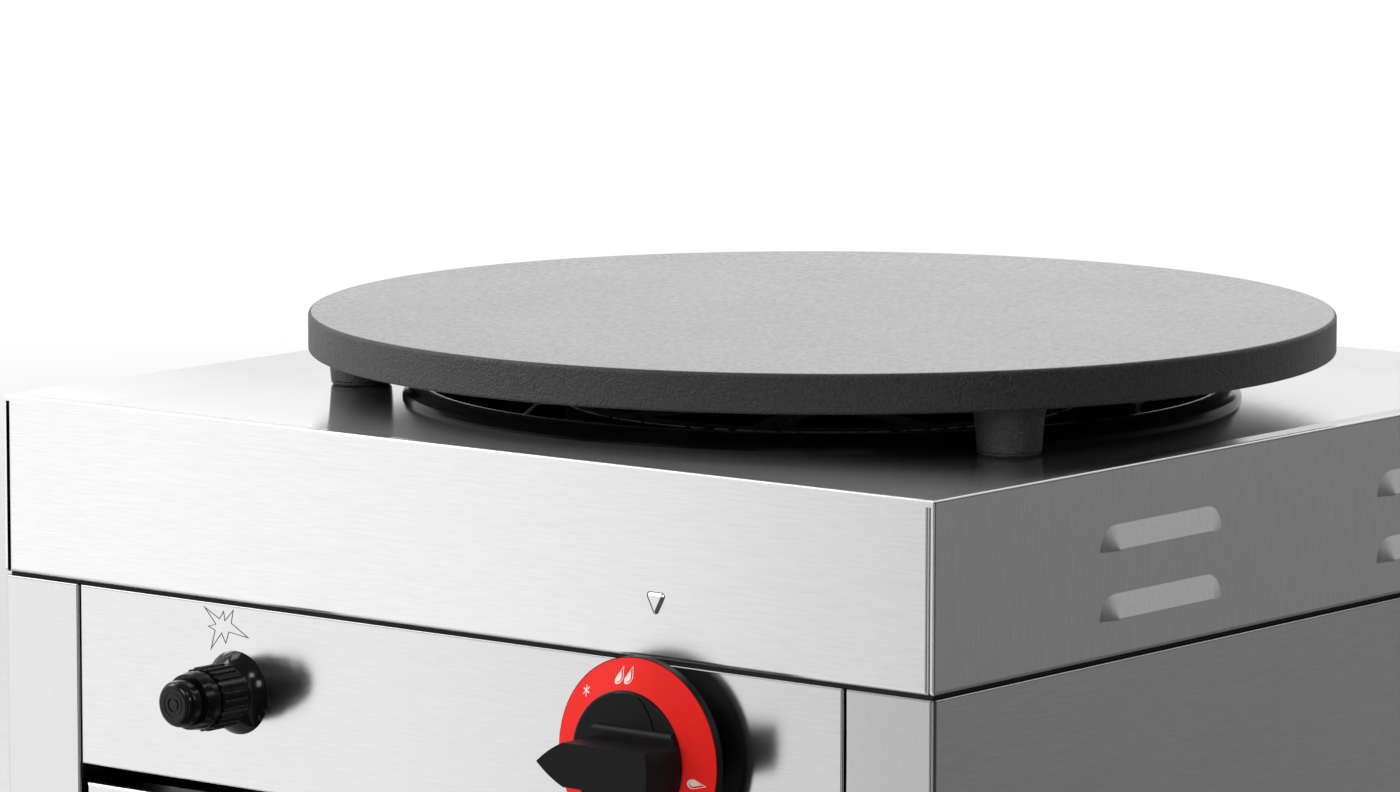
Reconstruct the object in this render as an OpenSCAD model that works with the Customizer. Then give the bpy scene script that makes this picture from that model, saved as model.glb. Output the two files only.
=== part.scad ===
// Gas countertop crepe maker: square stainless cabinet, cast iron baking plate
// on three feet, star burner in an enamelled bowl, gas tap with a dial knob,
// piezo igniter and a drawer underneath.
// Millimetres. Origin on the table under the middle of the cabinet, +Z up,
// front of the cabinet towards -Y.

/* [Cabinet] */
// Width of the cabinet
body_w = 450; // [446:1:456]
// Depth of the cabinet
body_d = 450; // [446:1:456]
// Height of the raised border of the deck above the table
rim_z = 236; // [234:0.5:242]
// Height of the hood's skirt
skirt_h = 69.2; // [68:0.2:70]
// Dark gap between the hood and the cabinet
seam_gap = 1.2; // [0.8:0.1:1.6]
// Sheet thickness
sheet = 1.2; // [1:0.1:1.2]
// How far the deck is pressed down inside its border
deck_dish = 4; // [3:0.5:5]
// Width of the front stiles
stile_w = 39; // [38:0.5:41]

/* [Louvres] */
// Length of one louvre
louvre_len = 76; // [60:1:84]
// How far a louvre stands out of the skirt
louvre_out = 2.5; // [2:0.1:4]
// Height of a louvre's mouth
louvre_h = 9.3; // [8:0.1:10]

/* [Baking plate] */
// Diameter of the baking plate
plate_d = 400; // [390:1:404]
// Thickness of the baking plate
plate_t = 15; // [13:0.5:18]
// Height of the plate's feet
plate_foot_h = 18.5; // [17:0.5:22]

/* [Burner] */
// Number of burner arms
burner_arms = 8; // [4:1:8]
// Gas ports on each arm
ports_per_arm = 4; // [2:1:5]
// Outer radius of the burner's ring
ring_r = 101; // [96:1:104]
// Gas ports on the ring
ring_ports = 40; // [24:1:48]

/* [Controls] */
// Distance of the knob from the middle
knob_x = 100; // [96:1:104]
// Distance of the igniter from the middle
igniter_x = 104; // [100:1:108]
// Height of the control axes above the table
control_z = 132.5; // [131:0.5:134]
// Radius of the knob's dial
dial_r = 36.7; // [34:0.1:37]

/* [Drawer] */
// Height of the drawer's front
drawer_h = 60; // [56:0.5:60]
// Length of the drawer's tray
tray_len = 362; // [320:1:370]

/* [Hidden] */
$fn = 96;

t = sheet;
hw = body_w / 2;
hd = body_d / 2;
e = 0.05;                       // clearance of fasteners in their holes
big = 600;
seam_z = rim_z - skirt_h;       // lower edge of the hood
top_z = seam_z - seam_gap;      // top of the cabinet under the hood
deck_z = rim_z - deck_dish;     // deck surface
cab_z = 15;                     // lower edge of the cabinet
floor_z = cab_z + t;            // underside of the base pan
pan_x = hw - stile_w - 1.1;     // half width of the control panel
panel_z0 = top_z - 69.7;        // lower edge of the control panel
drawer_z1 = panel_z0 - 6.8;     // upper edge of the drawer's front
drawer_z0 = drawer_z1 - drawer_h;
drawer_x = pan_x - 2.4;
tray_x = 170;
tray_z0 = 31;
tray_z1 = 81;
tray_y1 = -hd + 12 + tray_len;
deck_hole_r = 152;
bowl_floor = deck_z - 38;       // upper face of the bowl's floor
burner_z = deck_z - 1.3;        // top of the burner's ring
ven_z = bowl_floor - 29;        // height of the mixing tube
br_y = -95;                     // burner bracket
tap_y = -hd + 25;               // gas ports of the tap
rail_x = 150;                   // gas pipe along the right
plate_z0 = deck_z + plate_foot_h;
knob_front = 37.6;
inlet_end = hd + knob_front;

steel = [0.78, 0.78, 0.79];
steel_dark = [0.55, 0.56, 0.58];
iron = [0.16, 0.16, 0.165];
enamel = [0.03, 0.03, 0.035];
black = [0.05, 0.05, 0.055];
brass = [0.78, 0.62, 0.30];
red = [0.88, 0.12, 0.09];
alu = [0.72, 0.73, 0.74];
white = [0.95, 0.95, 0.95];

// ---------- helpers ----------

module ycyl(r, y0, y1, x = 0, z = 0) translate([x, y0, z]) rotate([-90, 0, 0]) cylinder(r = r, h = y1 - y0);
module xcyl(r, x0, x1, y = 0, z = 0) translate([x0, y, z]) rotate([0, 90, 0]) cylinder(r = r, h = x1 - x0);
module zcyl(r, z0, z1, x = 0, y = 0) translate([x, y, z0]) cylinder(r = r, h = z1 - z0);
module yhex(r, y0, y1, x = 0, z = 0) translate([x, y0, z]) rotate([-90, 0, 0]) cylinder(r = r, h = y1 - y0, $fn = 6);
module xhex(r, x0, x1, y = 0, z = 0) translate([x0, y, z]) rotate([0, 90, 0]) cylinder(r = r, h = x1 - x0, $fn = 6);
module zhex(r, z0, z1, x = 0, y = 0) translate([x, y, z0]) cylinder(r = r, h = z1 - z0, $fn = 6);
module box(x0, x1, y0, y1, z0, z1) translate([x0, y0, z0]) cube([x1 - x0, y1 - y0, z1 - z0]);

// rectangle with a radius of its own at each corner: bottom left, bottom right, top right, top left
module rrect(x0, x1, y0, y1, r) {
    difference() {
        translate([x0, y0]) square([x1 - x0, y1 - y0]);
        if (r[0] > 0) difference() { translate([x0 - 1, y0 - 1]) square([r[0] + 1, r[0] + 1]); translate([x0 + r[0], y0 + r[0]]) circle(r[0]); }
        if (r[1] > 0) difference() { translate([x1 - r[1], y0 - 1]) square([r[1] + 1, r[1] + 1]); translate([x1 - r[1], y0 + r[1]]) circle(r[1]); }
        if (r[2] > 0) difference() { translate([x1 - r[2], y1 - r[2]]) square([r[2] + 1, r[2] + 1]); translate([x1 - r[2], y1 - r[2]]) circle(r[2]); }
        if (r[3] > 0) difference() { translate([x0 - 1, y1 - r[3]]) square([r[3] + 1, r[3] + 1]); translate([x0 + r[3], y1 - r[3]]) circle(r[3]); }
    }
}
// block whose edges are rounded as seen along X, Y and Z
module soft_block(x0, x1, y0, y1, z0, z1, rx, ry, rz) {
    intersection() {
        translate([x0 - 1, 0, 0]) rotate([90, 0, 90]) linear_extrude(x1 - x0 + 2) rrect(y0, y1, z0, z1, rx);
        translate([0, y1 + 1, 0]) rotate([90, 0, 0]) linear_extrude(y1 - y0 + 2) rrect(x0, x1, z0, z1, ry);
        translate([0, 0, z0 - 1]) linear_extrude(z1 - z0 + 2) rrect(x0, x1, y0, y1, rz);
    }
}

// unit vector, and a frame with its columns along a, b and c
function unit(v) = v / norm(v);
module axes(a, b, c, p) multmatrix([[a[0], b[0], c[0], p[0]], [a[1], b[1], c[1], p[1]], [a[2], b[2], c[2], p[2]], [0, 0, 0, 1]]) children();
module run(a, b, r) {
    u = unit(b - a);
    s = abs(u[2]) < 0.5 ? [0, 0, 1] : [1, 0, 0];
    axes(unit(cross(u, s)), cross(u, unit(cross(u, s))), u, a) cylinder(r = r, h = norm(b - a));
}
// round wire through corners, each turned with bend radius br
function turn(p, i) = acos(unit(p[i] - p[i - 1]) * unit(p[i + 1] - p[i]));
module bent(p, r, br) {
    n = len(p);
    for (i = [0:n - 2]) {
        u = unit(p[i + 1] - p[i]);
        run(p[i] + (i > 0 ? br * tan(turn(p, i) / 2) : 0) * u, p[i + 1] - (i < n - 2 ? br * tan(turn(p, i + 1) / 2) : 0) * u, r);
    }
    for (i = [1:n - 2]) {
        u = unit(p[i] - p[i - 1]);
        v = unit(p[i + 1] - p[i]);
        w = unit(v - (v * u) * u);
        axes(-w, u, cross(u, w), p[i] - br * tan(turn(p, i) / 2) * u + br * w) rotate_extrude(angle = turn(p, i)) translate([br, 0]) circle(r);
    }
}
module hollow_bent(p, r, ri, br) {
    difference() {
        bent(p, r, br);
        bent(p, ri, br);
        // open both ends
        run(p[0] - 2 * unit(p[1] - p[0]), p[0] + 1 * unit(p[1] - p[0]), ri);
        run(p[len(p) - 1] - 1 * unit(p[len(p) - 1] - p[len(p) - 2]), p[len(p) - 1] + 2 * unit(p[len(p) - 1] - p[len(p) - 2]), ri);
    }
}
// closed coil of wire along z
module coil(r, wire, z0, z1, turns) {
    n = 14;
    m = 6;
    k = n * turns;
    function c(i) = [r * cos(360 * i / n), r * sin(360 * i / n), z0 + wire + (z1 - z0 - 2 * wire) * i / k];
    pts = [for (i = [0:k], j = [0:m - 1]) let(a = 360 * i / n, b = 360 * j / m)
        c(i) + [wire * cos(b) * cos(a), wire * cos(b) * sin(a), wire * sin(b)]];
    polyhedron(pts, concat([[for (j = [0:m - 1]) j]], [[for (j = [m - 1:-1:0]) k * m + j]],
        [for (i = [0:k - 1], j = [0:m - 1]) [i * m + j, (i + 1) * m + j, (i + 1) * m + (j + 1) % m, i * m + (j + 1) % m]]));
}
// screw with a pan head and a cross recess; z = 0 under the head, shank towards -z
module screw(r, len, hr, hh) {
    difference() {
        union() { cylinder(r = hr, h = hh * 0.55); cylinder(r = hr * 0.82, h = hh); zcyl(r, -len, 0.01); }
        for (a = [0, 90]) rotate([0, 0, a]) translate([-hr * 0.5, -hr * 0.11, hh * 0.45]) cube([hr, hr * 0.22, hh]);
    }
}

// ---------- cabinet ----------

// outward pressed louvre: z up from its mouth, y along it, x outward from the wall
module louvre_profile(off, low) {
    // s (distance from the mouth line) against the height above the wall: a flat lip, then one straight slant
    m = louvre_out / (louvre_h - 0.6);
    v = off * sqrt(1 + m * m);
    polygon([[0, low], [louvre_h - (low + v) / m, low], [louvre_h - (louvre_out - off + v) / m, louvre_out - off], [0, louvre_out - off]]);
}
louvre_y = [-88.4, 90.2];
louvre_z = [rim_z - 30, rim_z - 55.2];
module louvre_cap(off, low) {
    c = louvre_len / 2 - louvre_h;
    intersection() {
        union() {
            for (s = [-1, 1]) translate([0, s * c, 0]) rotate([0, 90, 0]) rotate_extrude() louvre_profile(off, low);
            // columns: profile x -> +z, profile y -> +x, sweep -> +y
            axes([0, 0, 1], [1, 0, 0], [0, 1, 0], [0, -c, 0]) linear_extrude(2 * c) louvre_profile(off, low);
        }
        translate([-6, -louvre_len, 0]) cube([20, 2 * louvre_len, 30]);
    }
}
module each_louvre() {
    for (y = louvre_y, z = louvre_z) {
        translate([hw, y, z]) children();
        mirror([1, 0, 0]) translate([hw, y, z]) children();
    }
}
// pressed-down middle of the deck
module dish(drop) {
    a = hw - 1.8;
    b = hd - 1.8;
    w = 24;
    intersection() {
        translate([0, big / 2, 0]) rotate([90, 0, 0]) linear_extrude(big) polygon([[-a, rim_z - drop], [-(a - w), deck_z - drop], [a - w, deck_z - drop], [a, rim_z - drop], [a, rim_z + 9], [-a, rim_z + 9]]);
        translate([-big / 2, 0, 0]) rotate([90, 0, 90]) linear_extrude(big) polygon([[-b, rim_z - drop], [-(b - w), deck_z - drop], [b - w, deck_z - drop], [b, rim_z - drop], [b, rim_z + 9], [-b, rim_z + 9]]);
    }
}
module each_hood_screw() {
    for (s = [-1, 1], k = [-1, 1]) {
        translate([s * (hw - 8), k * 130, 0]) children();
        translate([k * 150, s * (hd - 8), 0]) children();
    }
}
// triangle over the dial: a hull of three round pegs between two heights above the skirt
module index_pad(r1, r2, h0, h1) {
    hull() for (p = [[-2.75, -45.95], [2.75, -45.95], [0, -51.15]]) translate([knob_x + p[0], -hd - h0 + (h0 == 0 ? 0.01 : 0), rim_z + p[1]]) rotate([90, 0, 0]) cylinder(r1 = r1, r2 = r2, h = h1 - h0, $fn = 24);
}
module hood_shell() {
    color(steel) difference() {
        union() {
            difference() {
                soft_block(-hw, hw, -hd, hd, seam_z, rim_z, [1.8, 1.8, 0.9, 0.9], [1.8, 1.8, 0.9, 0.9], [0.8, 0.8, 0.8, 0.8]);
                dish(0);
                // inside of the sheet
                difference() {
                    soft_block(-hw + t, hw - t, -hd + t, hd - t, seam_z + t, rim_z - t, [0.6, 0.6, 0, 0], [0.6, 0.6, 0, 0], [0, 0, 0, 0]);
                    dish(t);
                }
                // the skirt's edge turns in to a flange that rests on the cabinet
                box(-hw + 13.2, hw - 13.2, -hd + 13.2, hd - 13.2, seam_z - 1, seam_z + t + 1);
            }
            each_louvre() louvre_cap(0, -t);
            // raised index mark above the dial
            index_pad(1.15, 0.15, 0, 0.95);
        }
        difference() { index_pad(1.45, 1.45, -0.4, 0.4); index_pad(1.15, 1.15, -0.5, 0.7); index_pad(1.15, 0.15, 0, 0.95); }
        each_louvre() translate([0, 0, -0.01]) louvre_cap(t, -t - 1);
        zcyl(deck_hole_r, deck_z - 20, rim_z + 1);
        // open butt seams of the skirt at the front and back corners
        for (s = [0, 1], k = [0, 1]) mirror([s, 0, 0]) mirror([0, k, 0]) translate([hw, -hd, 0]) {
            box(-2.45, -1.75, -0.9, 0.9, seam_z - 1, rim_z - 2.4);
            difference() { box(-4.1, -2.42, -0.9, 0.88, seam_z - 2, rim_z - 2.4); zcyl(2, seam_z - 3, rim_z, -4.1, 2); }
        }
        each_hood_screw() zcyl(2.05, seam_z - 1, seam_z + t + 1);
    }
}
module hood_gasket() {
    color(black) difference() {
        box(-hw + 2, hw - 2, -hd + 2, hd - 2, top_z, seam_z);
        box(-hw + 12, hw - 12, -hd + 12, hd - 12, top_z - 1, seam_z + 1);
        each_hood_screw() zcyl(2.05, top_z - 1, seam_z + 1);
    }
}
module hood_screws() {
    color(steel_dark) each_hood_screw() translate([0, 0, top_z - t]) rotate([180, 0, 0]) screw(2, 6.6, 3.6, 2.4);
}

module side_panel() {
    color(steel) difference() {
        union() {
            difference() {
                soft_block(hw - stile_w, hw, -hd, hd, cab_z, top_z, [1, 1, 0.5, 0.5], [1, 1, 0.5, 0.5], [1, 2, 2, 0]);
                soft_block(hw - stile_w + t, hw - t, -hd + t, hd - t, cab_z + t, top_z - t, [0, 0, 0, 0], [0, 0, 0, 0], [0, 0.8, 0.8, 0]);
                box(hw - stile_w - 1, hw - 22, -hd + 14, hd + 1, cab_z - 1, top_z + 1);
                box(hw - stile_w - 1, hw - 13.2, -hd + 14, hd - t, cab_z - 1, top_z + 1);
            }
            for (y = [-120, 120]) xcyl(2, hw - t - 10, hw - t / 2, y, 101);
            xcyl(2, hw - t - 10, hw - t / 2, br_y, ven_z - 9);
        }
        // fixing holes: hood, base, control panel, back
        each_hood_screw() zcyl(2.05, top_z - t - 1, top_z + 1);
        each_base_screw() zcyl(2.05, cab_z - 1, cab_z + t + 1);
        for (z = [112, 150]) xcyl(2.05, hw - stile_w - 1, hw - stile_w + t + 1, -hd + 8, z);
        for (z = [45, 95, 150]) ycyl(2.05, hd - t - 1, hd + 1, hw - 18, z);
    }
}
module side_panel_right() side_panel();
module side_panel_left() mirror([1, 0, 0]) side_panel();

module back_panel() {
    y1 = hd - t;
    color(steel) difference() {
        union() {
            box(-hw + 14, hw - 14, y1 - t, y1, floor_z + t + 0.2, top_z);
            box(-hw + 14, hw - 14, y1 - 12, y1 - t + 0.01, top_z - t, top_z);
        }
        // vents
        for (x = [-110, -50, 10], i = [0:5]) translate([x, y1, 75 + 10 * i]) {
            box(-20, 20, -5, 5, -2, 2);
            for (s = [-20, 20]) ycyl(2, -5, 5, s, 0);
        }
        ycyl(10.6, y1 - 5, y1 + 1, rail_x, control_z);
        each_hood_screw() zcyl(2.05, top_z - t - 1, top_z + 1);
        for (s = [-1, 1], z = [45, 95, 150]) ycyl(2.05, y1 - t - 1, y1 + 1, s * (hw - 18), z);
        for (s = [-1, 1]) ycyl(2.05, y1 - t - 1, y1 + 1, s * 100, 27);
    }
}
module back_panel_screws() {
    color(steel_dark) {
        for (s = [-1, 1], z = [45, 95, 150]) translate([s * (hw - 18), hd, z]) rotate([-90, 0, 0]) screw(2, 10, 3.8, 2.4);
        for (s = [-1, 1]) translate([s * 100, hd - t, 27]) rotate([-90, 0, 0]) screw(2, 10, 3.8, 2.4);
    }
}

feet_xy = [for (sx = [-1, 1], sy = [-1, 1]) [sx * (hw - 30), sy * (hd - 35)]];
module each_base_screw() for (s = [-1, 1], y = [-120, 0, 120]) translate([s * (hw - 7.5), y, 0]) children();
module each_runner_screw() for (s = [-1, 1], y = [-150, 0, 150]) translate([s * 181, y, 0]) children();
module base_pan() {
    color(steel) difference() {
        union() {
            // floor
            box(-hw + 1.6, hw - 1.6, -hd + 14.4, hd - 2 * t - 0.2, floor_z, floor_z + t);
            box(-pan_x, pan_x, -hd + t + 0.01, -hd + 15, floor_z, floor_z + t);
            // front rail
            soft_block(-pan_x, pan_x, -hd, -hd + t + 0.02, floor_z, drawer_z0 - 2, [1, 0, 0, 0.9], [0.6, 0.6, 0.6, 0.6], [0, 0, 0, 0]);
            // rear and side lips
            box(-200, 200, hd - 3 * t - 0.2, hd - 2 * t - 0.2, floor_z, 35);
            for (s = [-1, 1]) translate([s * (hw - 1.6 - t / 2), 0, 0]) box(-t / 2, t / 2, -200, 200, floor_z, 35);
        }
        for (p = feet_xy) zcyl(2.7, floor_z - 1, floor_z + t + 1, p[0], p[1]);
        each_base_screw() zcyl(2.05, floor_z - 1, floor_z + t + 1);
        each_runner_screw() zcyl(2.05, floor_z - 1, floor_z + t + 1);
        for (s = [-1, 1]) ycyl(2.05, hd - 6, hd, s * 100, 27);
    }
}
module base_screws() color(steel_dark) each_base_screw() translate([0, 0, cab_z]) rotate([180, 0, 0]) screw(2, 7, 3.6, 2.4);
module runner_screws() color(steel_dark) each_runner_screw() translate([0, 0, floor_z]) rotate([180, 0, 0]) screw(2, 7, 3.6, 2.4);
module rubber_feet() {
    color(black) for (p = feet_xy) translate([p[0], p[1], 0]) difference() {
        rotate_extrude() difference() {
            polygon([[0, 0], [13.5, 0], [14.2, 0.7], [16, floor_z - 1], [16, floor_z], [0, floor_z]]);
            translate([0, 5.9]) square([2.55, 20]);
        }
        // moulded recess in the sole
        rotate_extrude() polygon([[6, -1], [9, -1], [9, 1.5], [6, 1.5]]);
    }
}
module foot_screws() color(steel_dark) for (p = feet_xy) translate([p[0], p[1], floor_z + t]) screw(2.5, floor_z + t - 6.5, 4.4, 3);

// folded pan that is open to the back: face at the front, flange all round
module face_pan(x, z0, z1, deep, r, top_r) {
    difference() {
        soft_block(-x, x, -hd, -hd + deep, z0, z1, [r, 0, 0, top_r], [0.5, 0.5, 0.5, 0.5], [r, r, 0, 0]);
        soft_block(-x + t, x - t, -hd + t, -hd + deep + 1, z0 + t, z1 - t, [max(r - t, 0), 0, 0, max(top_r - t, 0)], [0, 0, 0, 0], [max(r - t, 0), max(r - t, 0), 0, 0]);
    }
}
module control_panel() {
    color(steel) difference() {
        union() {
            face_pan(pan_x, panel_z0, top_z, 14, 1, 0.5);
            box(-pan_x + 2, pan_x - 2, -hd + 13, -hd + 22, panel_z0, panel_z0 + t);
        }
        ycyl(6, -hd - 1, -hd + t + 1, knob_x, control_z);
        for (s = [-15, 15]) ycyl(2.05, -hd - 1, -hd + t + 1, knob_x + s, control_z);
        ycyl(9.8, -hd - 1, -hd + t + 1, -igniter_x, control_z);
        each_hood_screw() zcyl(2.05, top_z - t - 1, top_z + 1);
        for (s = [-1, 1], z = [112, 150]) translate([s * pan_x, 0, 0]) xcyl(2.05, -3, 3, -hd + 8, z);
    }
}
module panel_screws() {
    color(steel_dark) for (s = [0, 1], z = [112, 150]) mirror([s, 0, 0]) translate([pan_x - t, -hd + 8, z]) rotate([0, -90, 0]) screw(2, 6, 3.6, 2.2);
}
module heat_shield() {
    color(steel) difference() {
        union() {
            box(-hw + t + 0.2, hw - t - 0.2, -200, hd - 7, 91, 92);
            for (s = [-1, 1]) translate([s * (hw - t - 0.8), 0, 0]) box(-0.6, 0.6, -200, hd - 7, 91, 110);
            box(-pan_x, pan_x, -200, -199, 91, 98);
        }
        for (s = [-1, 1], y = [-120, 120]) translate([s * hw, 0, 0]) xcyl(2.05, -4, 4, y, 101);
    }
}
module stud_nuts() {
    color(steel_dark) for (s = [0, 1]) mirror([s, 0, 0]) {
        for (y = [-120, 120]) difference() { xhex(4, hw - t - 4.6, hw - t - 1.4, y, 101); xcyl(2 + e, hw - 10, hw, y, 101); }
        difference() { xhex(4, hw - t - 4.6, hw - t - 1.4, br_y, ven_z - 9); xcyl(2 + e, hw - 10, hw, br_y, ven_z - 9); }
    }
}

// ---------- drawer ----------

module drawer_runner() {
    color(steel) difference() {
        union() {
            box(172, 172 + t, -205, 160, floor_z + t, 83.2);
            box(172, 188, -205, 160, floor_z + t, floor_z + 2 * t);
            box(160, 172.01, -205, 160, tray_z0 - 0.3 - t, tray_z0 - 0.3);
            box(160, 172.01, -205, 160, tray_z1 + 1, tray_z1 + 1 + t);
        }
        each_runner_screw() zcyl(2.05, floor_z, floor_z + 3 * t);
    }
}
module drawer_runner_right() drawer_runner();
module drawer_runner_left() mirror([1, 0, 0]) drawer_runner();
handle_x = 60;
handle_z = 60;
module drawer_tray() {
    y0 = -hd + 12;
    color(steel) difference() {
        union() {
            soft_block(-tray_x, tray_x, y0, tray_y1, tray_z0, tray_z1, [0, 2, 0, 0], [2, 2, 0, 0], [0, 0, 3, 3]);
            // front wall spreads out to fill the drawer's front
            box(-drawer_x + t + 0.1, drawer_x - t - 0.1, y0, y0 + t, drawer_z0 + t + 0.1, drawer_z1 - t - 0.1);
        }
        soft_block(-tray_x + t, tray_x - t, y0 + t, tray_y1 - t, tray_z0 + t, tray_z1 + 9, [0, 1, 0, 0], [1, 1, 0, 0], [0, 0, 2, 2]);
        for (s = [-1, 1]) ycyl(2.55, y0 - 1, y0 + t + 1, s * handle_x, handle_z);
    }
}
module drawer_front() {
    color(steel) difference() {
        face_pan(drawer_x, drawer_z0, drawer_z1, 12 + t, 1.6, 1.6);
        for (s = [-1, 1]) ycyl(2.55, -hd - 1, -hd + t + 1, s * handle_x, handle_z);
    }
}
module drawer_handle() {
    color(steel) difference() {
        union() {
            bent([[-handle_x, -hd, handle_z], [-handle_x, -hd - 25, handle_z], [handle_x, -hd - 25, handle_z], [handle_x, -hd, handle_z]], 5, 10);
            for (s = [-1, 1]) ycyl(7.5, -hd - 1.2, -hd, s * handle_x, handle_z);
        }
        for (s = [-1, 1]) ycyl(2.55, -hd - 10.5, -hd + 1, s * handle_x, handle_z);
    }
}
module handle_screws() {
    color(steel_dark) for (s = [-1, 1]) translate([s * handle_x, -hd + 12 + t, handle_z]) rotate([-90, 0, 0]) screw(2.5, 22, 4.6, 2.6);
}

// ---------- burner ----------

module burner_bowl() {
    f = bowl_floor;
    d = deck_z;
    color(enamel) difference() {
        // one pressed sheet: foot of the collar, rounded crest, wall and floor
        rotate_extrude() polygon(concat(
            [[163.5, d], [163.5, d + 1], [162.7, d + 2.6]], [for (a = [40:12.5:140]) [156.6 + 6 * cos(a), d - 0.6 + 6.6 * sin(a)]],
            [[150.9, d + 2.4], [150.2, d + 0.6], [149, d - 6], [146, f + 10]], [for (a = [10:20:90]) [130 + 13 * cos(a), f + 8.4 - 8.4 * sin(a)]],
            [[44, f], [44, f - 1.4]], [for (a = [90:-20:10]) [130 + 14.4 * cos(a), f + 8.4 - 9.8 * sin(a)]],
            [[147.4, f + 9.8], [150.4, d - 6.2], [151.6, d + 0.4], [152.2, d + 1.9]], [for (a = [140:-12.5:40]) [156.6 + 4.8 * cos(a), d - 0.6 + 5.2 * sin(a)]],
            [[161.4, d + 2.2], [162.1, d + 0.8], [162.1, d]]));
        for (q = [el, tc]) zcyl(4.2, f - 9, f + 9, q[0], q[1]);
    }
}
module burner_head() {
    f = bowl_floor;
    z = burner_z;
    color(iron) difference() {
        union() {
            zcyl(52, f, f + 3);
            zcyl(30, f, z - 2);
            zcyl(14.5, f - 14, f + 1);
            rotate_extrude() polygon([[ring_r - 11, z - 16], [ring_r - 1, z - 16], [ring_r - 1, z - 3], [ring_r, z - 2.4], [ring_r, z], [ring_r - 11, z]]);
            for (i = [0:burner_arms - 1]) rotate([0, 0, 22.5 + 360 / burner_arms * i]) box(20, ring_r - 10.5, -7, 7, z - 14, z - 2);
        }
        // gas passages
        zcyl(25, f + 6, z - 5);
        zcyl(11.05, f - 20, f + 10);
        rotate_extrude() translate([ring_r - 8, z - 13]) square([4.6, 9]);
        for (i = [0:burner_arms - 1]) rotate([0, 0, 22.5 + 360 / burner_arms * i]) {
            box(15, ring_r - 6, -4, 4, z - 11, z - 5);
            for (k = [0:ports_per_arm - 1]) zcyl(1.3, z - 6, z - 1, 40 + (ring_r - 60) / (ports_per_arm - 1) * k, 0);
        }
        for (i = [0:ring_ports - 1]) rotate([0, 0, 360 / ring_ports * i]) zcyl(1.2, z - 5, z + 1, ring_r - 5.7, 0);
    }
}
module venturi_tube() {
    pts = [[0, -132, ven_z], [0, 0, ven_z], [0, 0, bowl_floor + 2]];
    color(alu) difference() {
        union() {
            bent(pts, 11, 15);
            translate([0, -150, ven_z]) rotate([-90, 0, 0]) cylinder(r1 = 16, r2 = 11, h = 18.01);
            ycyl(16, -158, -149.99, 0, ven_z);
        }
        bent(pts, 9.4, 12 + 3);
        run(pts[2] - [0, 0, 1], pts[2] + [0, 0, 2], 9.4);
        ycyl(9.4, -134, -130, 0, ven_z);
        translate([0, -150.01, ven_z]) rotate([-90, 0, 0]) cylinder(r1 = 14.4, r2 = 9.4, h = 18.02);
        ycyl(14.4, -156, -149.9, 0, ven_z);
        ycyl(5.6, -160, -150, 0, ven_z);
        // primary air windows
        for (a = [0, 120, 240]) translate([0, -152.6, ven_z]) rotate([0, a, 0]) box(-5, 5, -2.2, 2.2, 10, 20);
        zcyl(1.55, ven_z + 10, ven_z + 20, 0, -146);
    }
}
module air_shutter() {
    color(steel) difference() {
        ycyl(17.6, -157, -148.4, 0, ven_z);
        ycyl(16 + e, -158, -148, 0, ven_z);
        for (a = [40, 160, 280]) translate([0, -152.6, ven_z]) rotate([0, a, 0]) box(-5, 5, -2.2, 2.2, 10, 20);
    }
    color(steel) difference() {
        box(-4, 4, -148.4, -142.5, ven_z + 16.1, ven_z + 17.6);
        zcyl(1.55, ven_z + 10, ven_z + 20, 0, -146);
    }
}
module shutter_screw() color(brass) translate([0, -146, ven_z + 17.6]) screw(1.5, 3.4, 3, 2);
module injector() {
    color(brass) difference() {
        union() {
            yhex(9, -178, -168, 0, ven_z);
            ycyl(5.5, -168.01, -155, 0, ven_z);
            translate([0, -155.01, ven_z]) rotate([-90, 0, 0]) cylinder(r1 = 5.5, r2 = 2.5, h = 3);
        }
        ycyl(4 + e, -179, -170, 0, ven_z);
        ycyl(2, -171, -156, 0, ven_z);
        ycyl(0.75, -157, -150, 0, ven_z);
    }
}
module burner_bracket() {
    x = hw - t - 0.8;
    color(steel) difference() {
        union() {
            box(-x - 0.6, x + 0.6, br_y - 15, br_y + 15, ven_z - 23, ven_z - 21);
            for (s = [-1, 1]) translate([s * x, 0, 0]) box(-0.6, 0.6, br_y - 15, br_y + 15, ven_z - 23, ven_z - 3);
            box(-14, 14, br_y - 8, br_y + 8, ven_z - 21.01, ven_z - 4);
        }
        ycyl(11 + e, br_y - 20, br_y + 20, 0, ven_z);
        for (s = [-1, 1]) translate([s * hw, 0, 0]) xcyl(2.05, -5, 5, br_y, ven_z - 9);
    }
}

// ---------- gas train ----------

module tap_body() {
    color(brass) difference() {
        union() {
            translate([knob_x, -hd + t, control_z]) box(-21, 21, 0, 3, -16, 16);
            ycyl(15, -hd + t, -183, knob_x, control_z);
            ycyl(12, -183.01, -172, knob_x, control_z);
            xcyl(8, knob_x - 24, knob_x + 24, tap_y, control_z);
        }
        ycyl(11 + e, -hd, -214, knob_x, control_z);
        ycyl(8 + e, -215, -184, knob_x, control_z);
        ycyl(1.5, -185, -180, knob_x, control_z);
        ycyl(8 + e, -181, -171, knob_x, control_z);
        xcyl(3.5, knob_x + 7, knob_x + 25, tap_y, control_z);
        xcyl(3.5, knob_x - 25, knob_x - 7, tap_y, control_z);
        for (s = [-15, 15]) ycyl(2.05, -hd, -hd + t + 4, knob_x + s, control_z);
    }
}
module tap_bonnet() {
    color(brass) difference() {
        ycyl(11, -hd + t, -214.3, knob_x, control_z);
        ycyl(4 + e, -hd, -214, knob_x, control_z);
    }
}
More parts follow.
